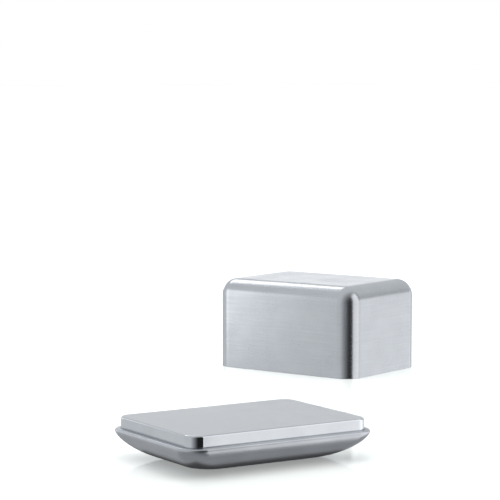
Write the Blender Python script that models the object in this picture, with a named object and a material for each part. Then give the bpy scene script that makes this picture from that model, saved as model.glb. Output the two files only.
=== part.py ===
"""Butter dish of pressed stainless steel: a base of two joined pressings, and a loose drawn lid.

The frame's origin is the centre of the dish's flat foot, on the table. +X runs along the dish's
long side and +Z points up. The lid stands on the table beside the dish, mouth down, as it does
while the butter is in use.
"""

import math

import bmesh
import bpy

MM = 0.001

# Platform: the polished plate that the butter stands on.
PLATFORM_LENGTH = 127.2 * MM
PLATFORM_WIDTH = 91.8 * MM
PLATFORM_CORNER = 8.5 * MM
PLATFORM_TOP = 25.8 * MM
PLATFORM_EDGE = 1.4 * MM
PLATFORM_SHEET = 1.0 * MM
FLANGE_WIDTH = 1.8 * MM

# Base shell: foot, curved belly, rounded rim and the ledge that the lid stands on.
LEDGE_TOP = 18.5 * MM
LEDGE_WIDTH = 4.2 * MM
RIM_CORNER = 14.0 * MM
RIM_EDGE = 1.4 * MM
SHELL_SHEET = 1.0 * MM
BELLY_INSET = 32.0 * MM
BELLY_ACROSS = 2.08
BELLY_UP = 1.42

# Lid: a drawn box cover that drops over the platform and stands on the ledge.
LID_PLAY = 1.4 * MM
LID_SHEET = 0.8 * MM
LID_CORNER = 13.5 * MM
LID_HEIGHT = 71.0 * MM
LID_EDGE = 12.5 * MM

# Where the lid stands, off the dish.
LID_X = 261.0 * MM
LID_Y = 307.5 * MM
LID_TURN = math.radians(-69.0)

# Clear gap between neighbouring pieces.
GAP = 0.3 * MM

# Facets: steps round each corner, and steps along the curved parts of the profiles.
CORNER_STEPS = 8
EDGE_STEPS = 4
BELLY_STEPS = 10
LID_EDGE_STEPS = 6


def clear_scene():
    for old in list(bpy.data.objects):
        bpy.data.objects.remove(old)


def metal(name, colour, roughness):
    """A bare metal Principled material."""
    material = bpy.data.materials.new(name)
    material.use_nodes = True
    shader = material.node_tree.nodes["Principled BSDF"]
    shader.inputs["Base Color"].default_value = (*colour, 1.0)
    shader.inputs["Metallic"].default_value = 1.0
    shader.inputs["Roughness"].default_value = roughness
    material.diffuse_color = (*colour, 1.0)
    return material


def add_ring(bm, length, width, corner, z):
    """Vertices round a rectangle with rounded corners, lying level at height z."""
    verts = []
    for quarter in range(4):
        side_x = 1 if quarter in (0, 3) else -1
        side_y = 1 if quarter in (0, 1) else -1
        centre_x = side_x * (length / 2 - corner)
        centre_y = side_y * (width / 2 - corner)
        for step in range(CORNER_STEPS + 1):
            angle = (quarter + step / CORNER_STEPS) * math.pi / 2
            x = centre_x + corner * math.cos(angle)
            y = centre_y + corner * math.sin(angle)
            verts.append(bm.verts.new((x, y, z)))
    return verts


def join_rings(bm, first, second):
    """A band of quads between two rings that have the same number of vertices."""
    for i in range(len(first)):
        bm.faces.new((first[i - 1], first[i], second[i], second[i - 1]))


def arc(centre, radius, start, end, steps):
    """Profile points (out, z) on an arc, whose angles in degrees start at the outward direction."""
    points = []
    for step in range(steps + 1):
        angle = math.radians(start + (end - start) * step / steps)
        out = centre[0] + radius * math.cos(angle)
        points.append((out, centre[1] + radius * math.sin(angle)))
    return points


def parallel(profile, corner):
    """Profile points with the corner radius that keeps every ring parallel to the outline."""
    return [(out, z, corner + out) for out, z in profile]


def thicken(profile, sheet):
    """The profile moved to its left by the sheet's thickness: the sheet's other face."""
    inner = []
    last = len(profile) - 1
    for i, (out, z, corner) in enumerate(profile):
        before = profile[max(i - 1, 0)]
        after = profile[min(i + 1, last)]
        run = after[0] - before[0]
        rise = after[1] - before[1]
        size = math.hypot(run, rise)
        shift = sheet * rise / size
        inner.append((out - shift, z + sheet * run / size, corner - shift))
    return inner


def pressed_sheet(name, length, width, outer, inner, material):
    """A sheet swept round a rectangle of length by width, from its closed middle to its open edge.

    outer and inner are the profiles of its two faces, as (out, z, corner) points: how far the
    ring lies outside the rectangle, its height, and its corner radius.
    """
    bm = bmesh.new()
    rings = []
    for out, z, corner in outer + inner[::-1]:
        rings.append(add_ring(bm, length + 2 * out, width + 2 * out, corner, z))
    for first, second in zip(rings, rings[1:]):
        join_rings(bm, first, second)
    bm.faces.new(rings[0])
    bm.faces.new(rings[-1])
    bmesh.ops.recalc_face_normals(bm, faces=bm.faces)
    if bm.calc_volume(signed=True) < 0:
        bmesh.ops.reverse_faces(bm, faces=bm.faces)
    mesh = bpy.data.meshes.new(name)
    bm.to_mesh(mesh)
    bm.free()
    mesh.materials.append(material)
    mesh.shade_smooth()
    mesh.set_sharp_from_angle(angle=math.radians(35))
    piece = bpy.data.objects.new(name, mesh)
    bpy.context.scene.collection.objects.link(piece)
    return piece


def make_base_shell():
    """Foot, belly, rim and ledge in one pressing. Its middle is the flat foot."""
    belly_height = LEDGE_TOP - RIM_EDGE
    belly = []
    for step in range(BELLY_STEPS):
        angle = math.pi / 2 * (1 - step / BELLY_STEPS)
        inset = BELLY_INSET * (1 - math.cos(angle) ** (2 / BELLY_ACROSS))
        z = belly_height * (1 - math.sin(angle) ** (2 / BELLY_UP))
        belly.append((-inset, z, RIM_CORNER))
    rim = parallel(arc((-RIM_EDGE, belly_height), RIM_EDGE, 0, 90, EDGE_STEPS), RIM_CORNER)
    ledge_end = (-LEDGE_WIDTH + GAP, LEDGE_TOP, PLATFORM_CORNER + GAP)
    outer = belly + rim + [ledge_end]
    inner = thicken(outer, SHELL_SHEET)
    material = metal("satin_shell_steel", (0.53, 0.54, 0.56), 0.34)
    length = PLATFORM_LENGTH + 2 * LEDGE_WIDTH
    width = PLATFORM_WIDTH + 2 * LEDGE_WIDTH
    return pressed_sheet("base_shell", length, width, outer, inner, material)


def make_platform():
    """Plate, wall and hidden flange in one pressing. Its middle is the flat plate."""
    wall_foot = LEDGE_TOP - SHELL_SHEET - GAP
    centre = (-PLATFORM_EDGE, PLATFORM_TOP - PLATFORM_EDGE)
    outer = arc(centre, PLATFORM_EDGE, 90, 0, EDGE_STEPS)
    outer += [(0.0, wall_foot), (FLANGE_WIDTH, wall_foot)]
    inner = arc(centre, PLATFORM_EDGE - PLATFORM_SHEET, 90, 0, EDGE_STEPS)
    inner += [(-PLATFORM_SHEET, wall_foot - PLATFORM_SHEET)]
    inner += [(FLANGE_WIDTH, wall_foot - PLATFORM_SHEET)]
    outer = parallel(outer, PLATFORM_CORNER)
    inner = parallel(inner, PLATFORM_CORNER)
    material = metal("polished_platform_steel", (0.62, 0.63, 0.65), 0.08)
    return pressed_sheet("platform", PLATFORM_LENGTH, PLATFORM_WIDTH, outer, inner, material)


def make_lid():
    """The drawn cover, standing mouth down. Its middle is the flat top."""
    centre = (-LID_EDGE, LID_HEIGHT - LID_EDGE)
    outer = arc(centre, LID_EDGE, 90, 0, LID_EDGE_STEPS) + [(0.0, 0.0)]
    inner = arc(centre, LID_EDGE - LID_SHEET, 90, 0, LID_EDGE_STEPS) + [(-LID_SHEET, 0.0)]
    outer = parallel(outer, LID_CORNER)
    inner = parallel(inner, LID_CORNER)
    material = metal("satin_lid_steel", (0.6, 0.61, 0.63), 0.3)
    length = PLATFORM_LENGTH + 2 * (LID_PLAY + LID_SHEET)
    width = PLATFORM_WIDTH + 2 * (LID_PLAY + LID_SHEET)
    lid = pressed_sheet("lid", length, width, outer, inner, material)
    lid.location = (LID_X, LID_Y, 0.0)
    lid.rotation_euler = (0.0, 0.0, LID_TURN)
    return lid


clear_scene()
make_base_shell()
make_platform()
make_lid()
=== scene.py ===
import math
import bmesh
import bpy
from mathutils import Matrix, Vector


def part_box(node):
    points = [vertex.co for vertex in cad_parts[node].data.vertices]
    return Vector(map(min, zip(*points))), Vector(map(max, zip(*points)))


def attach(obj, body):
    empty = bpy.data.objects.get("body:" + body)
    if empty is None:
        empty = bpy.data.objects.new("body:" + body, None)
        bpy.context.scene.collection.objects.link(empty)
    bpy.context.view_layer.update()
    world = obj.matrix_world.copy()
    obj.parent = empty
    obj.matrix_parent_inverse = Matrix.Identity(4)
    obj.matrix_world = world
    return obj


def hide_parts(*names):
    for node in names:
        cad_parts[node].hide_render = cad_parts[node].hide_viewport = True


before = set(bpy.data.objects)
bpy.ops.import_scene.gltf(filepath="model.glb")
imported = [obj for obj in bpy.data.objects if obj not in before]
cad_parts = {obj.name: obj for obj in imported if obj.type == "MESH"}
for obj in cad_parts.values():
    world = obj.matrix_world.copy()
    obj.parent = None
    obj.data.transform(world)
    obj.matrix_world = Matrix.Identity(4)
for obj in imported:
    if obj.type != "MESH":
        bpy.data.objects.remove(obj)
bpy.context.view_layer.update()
mm = 0.001

# The dish lies square to the frame, centred on its origin; the lid stands beside it, turned.
shellLow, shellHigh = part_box("base_shell")
plateLow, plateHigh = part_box("platform")
lidLow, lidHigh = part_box("lid")
print("frame loaded")


# sheet metal shapes, shared by all three pieces

cornerSteps = 28  # facets round each upright corner
lipSteps = 3  # facets across a cut edge
cutAngle = 60  # degrees; only a cut edge is sharper than this
flatWeight = 100  # the large faces decide the normals
mergeDistance = 0.001 * mm


def addOutline(bm, outline, z):
    # one flat face: a rectangle of (length, width, corner radius) with round corners
    length, width, corner = outline
    grid = bmesh.ops.create_grid(bm, x_segments=1, y_segments=1, size=0.5)
    verts = grid["verts"]
    bmesh.ops.scale(bm, vec=(length, width, 1), verts=verts)
    bmesh.ops.translate(bm, vec=(0, 0, z), verts=verts)
    bmesh.ops.bevel(bm, geom=verts, offset=corner, offset_type="OFFSET", affect="VERTICES",
                    segments=cornerSteps, profile=0.5, material=-1)
    return bm.edges[:]


def extrudeRing(bm, edges, old, new, rise):
    # pulls the open edge on to the next outline, corner by corner, so that the arcs stay true
    made = bmesh.ops.extrude_edge_only(bm, edges=edges)["geom"]
    verts = [v for v in made if isinstance(v, bmesh.types.BMVert)]
    ring = [e for e in made if isinstance(e, bmesh.types.BMEdge)]
    for sideX in (-1, 1):
        for sideY in (-1, 1):
            group = [v for v in verts if v.co.x * sideX > 0 and v.co.y * sideY > 0]
            oldCentre = Vector((sideX * (old[0] / 2 - old[2]), sideY * (old[1] / 2 - old[2]), 0))
            newCentre = Vector((sideX * (new[0] / 2 - new[2]), sideY * (new[1] / 2 - new[2]), 0))
            grow = new[2] / old[2]
            bmesh.ops.scale(bm, vec=(grow, grow, 1), space=Matrix.Translation(-oldCentre), verts=group)
            bmesh.ops.translate(bm, vec=newCentre - oldCentre + Vector((0, 0, rise)), verts=group)
    return ring


def pressSheet(name, length, width, profile, middleUp, place=Matrix.Identity(4)):
    # profile: (out, z, corner) from the closed middle to the open edge, of the sheet's outer face
    bm = bmesh.new()
    outlines = [((length + 2 * out, width + 2 * out, corner), z) for out, z, corner in profile]
    edges = addOutline(bm, *outlines[0])
    for (old, oldZ), (new, newZ) in zip(outlines, outlines[1:]):
        edges = extrudeRing(bm, edges, old, new, newZ - oldZ)
    bmesh.ops.remove_doubles(bm, verts=bm.verts, dist=mergeDistance)
    bmesh.ops.recalc_face_normals(bm, faces=bm.faces)
    middle = max(bm.faces, key=lambda face: face.calc_area() * abs(face.normal.z))
    if (middle.normal.z > 0) != middleUp:
        bmesh.ops.reverse_faces(bm, faces=bm.faces)
    bmesh.ops.transform(bm, matrix=place, verts=bm.verts)
    mesh = bpy.data.meshes.new(name)
    bm.to_mesh(mesh)
    bm.free()
    mesh.shade_smooth()
    piece = bpy.data.objects.new(name, mesh)
    bpy.context.scene.collection.objects.link(piece)
    return piece


def finishSheet(piece, sheet, lip):
    # thickness to the inside, a dulled cut edge, and normals that keep the flat faces flat
    wall = piece.modifiers.new("sheet", "SOLIDIFY")
    wall.thickness = sheet
    wall.offset = -1
    wall.use_even_offset = True
    wall.use_quality_normals = True
    edge = piece.modifiers.new("cut edge", "BEVEL")
    edge.width = lip
    edge.segments = lipSteps
    edge.limit_method = "ANGLE"
    edge.angle_limit = math.radians(cutAngle)
    flat = piece.modifiers.new("flat faces", "WEIGHTED_NORMAL")
    flat.weight = flatWeight
    flat.keep_sharp = True


def arc(centreOut, centreZ, radius, start, end, steps, corner):
    # profile points on an arc; angles in degrees, 0 straight out and 90 straight up
    points = []
    for step in range(steps + 1):
        angle = math.radians(start + (end - start) * step / steps)
        out = centreOut + radius * math.cos(angle)
        points.append((out, centreZ + radius * math.sin(angle), corner + out))
    return points


# materials

def linear(hexColour):
    # sRGB hex to the linear colour that the shaders use
    parts = [int(hexColour[i:i + 2], 16) / 255 for i in (1, 3, 5)]
    return [p / 12.92 if p <= 0.04045 else ((p + 0.055) / 1.055) ** 2.4 for p in parts] + [1]


def addNode(tree, kind, settings=None, **links):
    # one node: its own settings, then its inputs, each a value or a link from another node's socket;
    # an input goes by its name with _ for a space, or by its number, as in _0
    node = tree.nodes.new(kind)
    for key, value in (settings or {}).items():
        setattr(node, key, value)
    for key, value in links.items():
        socket = node.inputs[int(key[1:])] if key[1:].isdigit() else node.inputs[key.replace("_", " ")]
        if isinstance(value, bpy.types.NodeSocket):
            tree.links.new(value, socket)
        else:
            socket.default_value = value
    return node


def newMaterial(name):
    material = bpy.data.materials.new(name)
    material.use_nodes = True
    tree = material.node_tree
    return material, tree, tree.nodes["Principled BSDF"]


def ramp(tree, factor, low, high, fromMin=0.3, fromMax=0.7):
    # a texture's grey spread over the wanted span
    node = addNode(tree, "ShaderNodeMapRange", None, Value=factor, From_Min=fromMin, From_Max=fromMax,
                   To_Min=low, To_Max=high)
    return node.outputs["Result"]


# the brushing that the shell and the lid share: how far its lines and scratches are drawn out,
# what each kind of mark adds to the roughness, and how much of it shows in the tone
satin = dict(lineStretch=0.03, lineRough=0.012, lineTone=0.4, patchRough=0.06, patchTone=0.6,
             scratchStretch=0.02, scratchTurn=(0.4, 0.3, 0.5), scratchGap=2.0 * mm,
             scratchFrom=0.64, scratchTo=0.80, scratchRough=0.012, bumpDepth=0.01 * mm)


def satinSteel(name, look):
    # 18/10 stainless steel, drawn, then satin brushed with a fine belt: a soft, even sheen in which
    # single scratches just catch the light
    material, tree, shader = newMaterial(name)
    place = addNode(tree, "ShaderNodeTexCoord").outputs["Object"]
    # the belt runs round the piece, so its lines lie level; they are about 0.05 mm apart, and drawn
    # about 1 mm apart so that they show
    level = satin["lineStretch"]
    along = addNode(tree, "ShaderNodeMapping", None, Vector=place,
                    Scale=(level, level, 1)).outputs["Vector"]
    lines = addNode(tree, "ShaderNodeTexNoise", None, Vector=along, Scale=1 / look["lineGap"],
                    Detail=1.0).outputs["Fac"]
    # the belt's uneven pressure, in patches
    patches = addNode(tree, "ShaderNodeTexNoise", None, Vector=place, Scale=1 / look["patch"],
                      Detail=2.0).outputs["Fac"]
    # a few longer handling scratches
    scratchPlace = addNode(tree, "ShaderNodeMapping", None, Vector=place,
                           Rotation=satin["scratchTurn"],
                           Scale=(satin["scratchStretch"], 1, 1)).outputs["Vector"]
    scratch = addNode(tree, "ShaderNodeTexNoise", None, Vector=scratchPlace,
                      Scale=1 / satin["scratchGap"], Detail=1.0).outputs["Fac"]
    scratches = ramp(tree, scratch, 0, 1, satin["scratchFrom"], satin["scratchTo"])
    rough = ramp(tree, lines, look["rough"] - satin["lineRough"], look["rough"] + satin["lineRough"])
    patchy = addNode(tree, "ShaderNodeMath", {"operation": "MULTIPLY_ADD"}, _0=patches,
                     _1=satin["patchRough"], _2=rough).outputs[0]
    worn = addNode(tree, "ShaderNodeMath", {"operation": "MULTIPLY_ADD"}, _0=scratches,
                   _1=satin["scratchRough"], _2=patchy).outputs[0]
    tree.links.new(worn, shader.inputs["Roughness"])
    # the tone follows the belt's pressure, and a little of it the brush lines
    brushed = addNode(tree, "ShaderNodeMath", {"operation": "MULTIPLY_ADD"}, _0=ramp(tree, lines, 0, 1),
                      _1=satin["lineTone"],
                      _2=ramp(tree, patches, 0, satin["patchTone"])).outputs[0]
    tone = addNode(tree, "ShaderNodeMix", {"data_type": "RGBA"}, _0=brushed,
                   _6=linear(look["colour"]), _7=linear(look["shade"])).outputs[2]
    tree.links.new(tone, shader.inputs["Base Color"])
    bump = addNode(tree, "ShaderNodeBump", None, Height=lines, Strength=look["bump"],
                   Distance=satin["bumpDepth"]).outputs["Normal"]
    tree.links.new(bump, shader.inputs["Normal"])
    shader.inputs["Metallic"].default_value = 1.0
    return material


def polishedSteel(name, look):
    # 18/10 stainless steel, buffed to a mirror with mop and compound: sharp reflections, with fine
    # wiping marks from use
    material, tree, shader = newMaterial(name)
    place = addNode(tree, "ShaderNodeTexCoord").outputs["Object"]
    marks = addNode(tree, "ShaderNodeTexNoise", None, Vector=place, Scale=1 / look["smear"],
                    Detail=4.0).outputs["Fac"]
    wipe = addNode(tree, "ShaderNodeMapping", None, Vector=place, Rotation=(0, 0, look["hairTurn"]),
                   Scale=(look["hairStretch"], 1, 1)).outputs["Vector"]
    hair = addNode(tree, "ShaderNodeTexNoise", None, Vector=wipe, Scale=1 / look["hair"],
                   Detail=2.0).outputs["Fac"]
    hairlines = ramp(tree, hair, 0, look["hairRough"], look["hairFrom"], look["hairTo"])
    rough = ramp(tree, marks, look["rough"] - look["smearClear"], look["rough"] + look["smearRough"])
    worn = addNode(tree, "ShaderNodeMath", {"operation": "ADD"}, _0=rough, _1=hairlines).outputs[0]
    tree.links.new(worn, shader.inputs["Roughness"])
    tone = addNode(tree, "ShaderNodeMix", {"data_type": "RGBA"}, _0=ramp(tree, marks, 0, 1),
                   _6=linear(look["colour"]), _7=linear(look["shade"])).outputs[2]
    tree.links.new(tone, shader.inputs["Base Color"])
    bump = addNode(tree, "ShaderNodeBump", None, Height=marks, Strength=look["bump"],
                   Distance=look["bumpDepth"]).outputs["Normal"]
    tree.links.new(bump, shader.inputs["Normal"])
    shader.inputs["Metallic"].default_value = 1.0
    return material


# base shell: foot, curved belly, rounded rim and ledge, in one pressing

shell = dict(sheet=1.0 * mm, lip=0.15 * mm, rimCorner=14 * mm, rimEdge=1.4 * mm, rimSteps=10,
             bellyInset=32 * mm, across=2.08, up=1.42, bellySteps=36, ledge=3.9 * mm,
             ledgeCorner=8.8 * mm,
             colour="#C7CACF", shade="#BDC0C5", rough=0.3, lineGap=0.9 * mm, patch=15 * mm, bump=0.10)


def makeShell():
    # the belly is an oval curve: across and up are its two powers, and 2 would make it an ellipse
    top = shellHigh.z
    height = top - shell["rimEdge"]
    profile = []
    for step in range(shell["bellySteps"]):
        angle = math.pi / 2 * (1 - step / shell["bellySteps"])
        inset = shell["bellyInset"] * (1 - math.cos(angle) ** (2 / shell["across"]))
        z = height * (1 - math.sin(angle) ** (2 / shell["up"]))
        profile.append((-inset, z, shell["rimCorner"]))
    profile += arc(-shell["rimEdge"], height, shell["rimEdge"], 0, 90, shell["rimSteps"],
                   shell["rimCorner"])
    profile.append((-shell["ledge"], top, shell["ledgeCorner"]))
    piece = pressSheet("dish_shell", shellHigh.x - shellLow.x, shellHigh.y - shellLow.y, profile, False)
    finishSheet(piece, shell["sheet"], shell["lip"])
    piece.data.materials.append(satinSteel("satin brushed stainless, shell", shell))
    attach(piece, "dish")
    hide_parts("base_shell")


makeShell()
print("base shell done")


# platform: the polished plate for the butter, with its flange under the ledge

plate = dict(sheet=1.0 * mm, lip=0.15 * mm, corner=8.5 * mm, edge=1.4 * mm, edgeSteps=12,
             flange=1.8 * mm, flangeTop=17.2 * mm,
             colour="#D2D5DA", shade="#CBCED3", rough=0.07, bump=0.03, bumpDepth=0.02 * mm,
             smear=18 * mm, smearClear=0.02, smearRough=0.03,
             hair=0.8 * mm, hairTurn=0.35, hairStretch=0.04, hairFrom=0.62, hairTo=0.75,
             hairRough=0.06)
plateLength = plateHigh.x - plateLow.x - 2 * plate["flange"]
plateWidth = plateHigh.y - plateLow.y - 2 * plate["flange"]


def makePlatform():
    edge = plate["edge"]
    profile = arc(-edge, plateHigh.z - edge, edge, 90, 0, plate["edgeSteps"], plate["corner"])
    foot = plate["flangeTop"]  # just under the shell's sheet
    profile += [(0, foot, plate["corner"]), (plate["flange"], foot, plate["corner"] + plate["flange"])]
    piece = pressSheet("platform_plate", plateLength, plateWidth, profile, True)
    finishSheet(piece, plate["sheet"], plate["lip"])
    piece.data.materials.append(polishedSteel("mirror polished stainless, platform", plate))
    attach(piece, "dish")
    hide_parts("platform")


makePlatform()
print("platform done")


# lid: one deep-drawn cover that drops over the platform

lid = dict(sheet=0.8 * mm, lip=0.25 * mm, play=1.4 * mm, corner=13.5 * mm, edge=12.5 * mm,
           edgeSteps=20, turn=math.radians(-69),
           colour="#CFD2D7", shade="#C7CACF", rough=0.23, lineGap=1.2 * mm, patch=18 * mm, bump=0.03)


def makeLid():
    edge = lid["edge"]
    profile = arc(-edge, lidHigh.z - edge, edge, 90, 0, lid["edgeSteps"], lid["corner"])
    profile.append((0, 0, lid["corner"]))
    spare = 2 * (lid["play"] + lid["sheet"])
    middle = (lidLow + lidHigh) / 2
    place = Matrix.Translation((middle.x, middle.y, 0)) @ Matrix.Rotation(lid["turn"], 4, "Z")
    piece = pressSheet("lid_cover", plateLength + spare, plateWidth + spare, profile, True, place)
    finishSheet(piece, lid["sheet"], lid["lip"])
    piece.data.materials.append(satinSteel("satin brushed stainless, lid", lid))
    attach(piece, "lid")
    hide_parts("lid")


makeLid()
print("lid done")


# camera: angles in degrees, lens and sensor in millimetres, and the rest in metres; dishTurn is how
# the dish stands to the studio, and turn also aims the camera
view = dict(dishTurn=31.8, turn=31.955, pitch=5.02, lens=151.2, sensor=36, back=1.2811,
            aside=0.0013, height=0.2414, clipNear=0.05, clipFar=50)
dishTurn = math.radians(view["dishTurn"])
ahead = Vector((math.sin(dishTurn), math.cos(dishTurn), 0))
right = Vector((math.cos(dishTurn), -math.sin(dishTurn), 0))


def makeCamera():
    data = bpy.data.cameras.new("camera")
    data.lens = view["lens"]
    data.sensor_width = view["sensor"]
    data.clip_start = view["clipNear"]
    data.clip_end = view["clipFar"]
    camera = bpy.data.objects.new("camera", data)
    camera.location = -view["back"] * ahead + view["aside"] * right + Vector((0, 0, view["height"]))
    camera.rotation_euler = (math.radians(90 - view["pitch"]), 0, math.radians(-view["turn"]))
    bpy.context.scene.collection.objects.link(camera)
    bpy.context.scene.camera = camera


makeCamera()
print("camera done")


# studio: a pale glossy floor, a grey room that is dark on the camera's side, and softboxes

# floor: mirror is the share of gloss, wash the brightness of its own light, and spread that light's
# width in degrees
floorLook = dict(colour="#F1F4F2", size=40.0, mirror=0.34, rough=0.06, wash=1.0, spread=110)

# the room goes from dark to pale towards paler, which is (to the right, beyond the dish), and
# dims to under from just below the horizon down; the At values are cosines, for the two ends of
# each change
room = dict(dark=0.02, darkAt=-0.9, pale=0.73, paleAt=-0.12, paler=(-0.64, 0.77), tint="#FAFDFF",
            under=0.52, underAt=-0.8, fullAt=-0.15)

# softboxes: where the middle is and where it faces (to the right, beyond the dish, up), its width
# and height, the brightness that it adds to the room's, and the spread of its honeycomb in degrees
wattsForWhite = 4  # for each square metre of a softbox that looks as bright as 1
softboxes = dict(
    side=dict(middle=(0.86, -0.11, 0.0), faces=(0, -0.04, 0.0), size=(0.84, 2.3), bright=0.78,
              spread=170),
    sideFar=dict(middle=(0.93, 0.65, -0.31), faces=(0, 0.57, -0.31), size=(0.7, 1.0), bright=0.42,
                 spread=180),
    over=dict(middle=(-0.42, 1.2, 1.06), faces=(0.06, 0.4, 0.07), size=(0.8, 0.2), bright=2.2,
              spread=180),
    left=dict(middle=(-0.48, 0.36, 0.1), faces=(0.03, 0.45, 0.1), size=(0.25, 0.3), bright=0.6,
              spread=180),
    back=dict(middle=(0.0, 1.7, 0.15), faces=(0, 0, 0.15), size=(1.4, 0.2), bright=0.7, spread=180))

# painted shade: faintly glowing dark cards that only the metal sees, standing in for the shadow under
# the foot and for the shade low down behind the metal at the table's far end, which draws a thin dark
# outline round the metal
shadeCards = dict(
    underShadowCard=dict(middle=(0, 0, -0.002), size=(0.112, 0.072), upright=False, tone=0.07),
    farShadeCard=dict(middle=(0.1, 1.75, -0.42), size=(1.3, 0.8), upright=True, tone=0.06))


def studioPlace(side, beyond, up=0.0):
    return side * right + beyond * ahead + Vector((0, 0, up))


def makeSoftbox(name, box):
    data = bpy.data.lights.new(name, "AREA")
    data.shape = "RECTANGLE"
    data.size, data.size_y = box["size"]
    data.energy = box["bright"] * wattsForWhite * data.size * data.size_y
    light = bpy.data.objects.new(name, data)
    middle = studioPlace(*box["middle"])
    light.location = middle
    light.rotation_euler = (studioPlace(*box["faces"]) - middle).to_track_quat("-Z", "Y").to_euler()
    data.spread = math.radians(box["spread"])
    light.visible_camera = False
    bpy.context.scene.collection.objects.link(light)


def makeFloor():
    bm = bmesh.new()
    bmesh.ops.create_grid(bm, x_segments=1, y_segments=1, size=floorLook["size"] / 2)
    mesh = bpy.data.meshes.new("floor")
    bm.to_mesh(mesh)
    bm.free()
    material, tree = newMaterial("white acrylic sheet")[:2]
    tree.nodes.clear()
    body = addNode(tree, "ShaderNodeBsdfDiffuse", None, Color=linear(floorLook["colour"])).outputs[0]
    gloss = addNode(tree, "ShaderNodeBsdfGlossy", None, Color=(1, 1, 1, 1),
                    Roughness=floorLook["rough"]).outputs[0]
    both = addNode(tree, "ShaderNodeMixShader", None, _0=floorLook["mirror"], _1=body,
                   _2=gloss).outputs[0]
    addNode(tree, "ShaderNodeOutputMaterial", None, Surface=both)
    mesh.materials.append(material)
    floor = bpy.data.objects.new("floor", mesh)
    bpy.context.scene.collection.objects.link(floor)
    floor.visible_glossy = False  # the metal mirrors the room's lower half instead
    floor.visible_diffuse = False
    makeFloorWash(floor)


def makeShadeCard(name, shadeCard):
    # a dark card that only the metal sees: painted shade, put where the real setting has only shadow
    bm = bmesh.new()
    bmesh.ops.create_grid(bm, x_segments=1, y_segments=1, size=0.5)
    bmesh.ops.scale(bm, vec=(*shadeCard["size"], 1), verts=bm.verts)
    if shadeCard["upright"]:
        turn = Matrix.Rotation(-dishTurn, 4, "Z") @ Matrix.Rotation(math.pi / 2, 4, "X")
        bmesh.ops.transform(bm, matrix=turn, verts=bm.verts)
    bmesh.ops.translate(bm, vec=studioPlace(*shadeCard["middle"]), verts=bm.verts)
    mesh = bpy.data.meshes.new(name)
    bm.to_mesh(mesh)
    bm.free()
    material, tree = newMaterial("painted shade card")[:2]
    tree.nodes.clear()
    # its faint glow is painted shade, darker than the room that it hides in the metal's reflections
    tone = addNode(tree, "ShaderNodeEmission", None, Strength=shadeCard["tone"]).outputs[0]
    addNode(tree, "ShaderNodeOutputMaterial", None, Surface=tone)
    mesh.materials.append(material)
    piece = bpy.data.objects.new(name, mesh)
    bpy.context.scene.collection.objects.link(piece)
    piece.visible_camera = False
    piece.visible_diffuse = False
    piece.visible_shadow = False


def makeFloorWash(floor):
    # a broad light for the floor only, which keeps it white out to the horizon; it casts no shadow,
    # so the shadows of the others stay a soft grey
    data = bpy.data.lights.new("floor wash", "SUN")
    data.energy = floorLook["wash"] * math.pi  # pi lights a white floor to about 1
    data.angle = math.radians(floorLook["spread"])
    data.use_shadow = False
    light = bpy.data.objects.new("floor wash", data)
    bpy.context.scene.collection.objects.link(light)
    lit = bpy.data.collections.new("floor only")
    lit.objects.link(floor)
    light.light_linking.receiver_collection = lit


def makeRoom():
    # the camera sees plain white; everything else sees a grey room, with one gradient round it and
    # one from the horizon down
    world = bpy.data.worlds.new("studio")
    bpy.context.scene.world = world
    world.use_nodes = True
    tree = world.node_tree
    tree.nodes.clear()
    way = addNode(tree, "ShaderNodeTexCoord").outputs["Generated"]
    paler = studioPlace(*room["paler"]).normalized()
    facing = addNode(tree, "ShaderNodeVectorMath", {"operation": "DOT_PRODUCT"}, _0=way,
                     _1=paler).outputs["Value"]
    level = addNode(tree, "ShaderNodeMapRange", None, Value=facing, From_Min=room["darkAt"],
                    From_Max=room["paleAt"], To_Min=room["dark"], To_Max=room["pale"]).outputs[0]
    height = addNode(tree, "ShaderNodeSeparateXYZ", None, Vector=way).outputs["Z"]
    sink = addNode(tree, "ShaderNodeMapRange", {"interpolation_type": "SMOOTHSTEP"}, Value=height,
                   From_Min=room["underAt"], From_Max=room["fullAt"], To_Min=room["under"],
                   To_Max=1.0).outputs[0]
    bright = addNode(tree, "ShaderNodeMath", {"operation": "MULTIPLY"}, _0=level, _1=sink).outputs[0]
    seen = addNode(tree, "ShaderNodeBackground", None, Color=linear(room["tint"]),
                   Strength=bright).outputs[0]
    white = addNode(tree, "ShaderNodeBackground", None, Color=(1, 1, 1, 1)).outputs[0]
    rays = addNode(tree, "ShaderNodeLightPath").outputs["Is Camera Ray"]
    mixed = addNode(tree, "ShaderNodeMixShader", None, _0=rays, _1=seen, _2=white).outputs[0]
    addNode(tree, "ShaderNodeOutputWorld", None, Surface=mixed)


makeFloor()
makeRoom()
for cardName, cardValues in shadeCards.items():
    makeShadeCard(cardName, cardValues)
for boxName, boxValues in softboxes.items():
    makeSoftbox(boxName, boxValues)
bpy.context.scene.view_settings.view_transform = "Standard"
print("studio done")
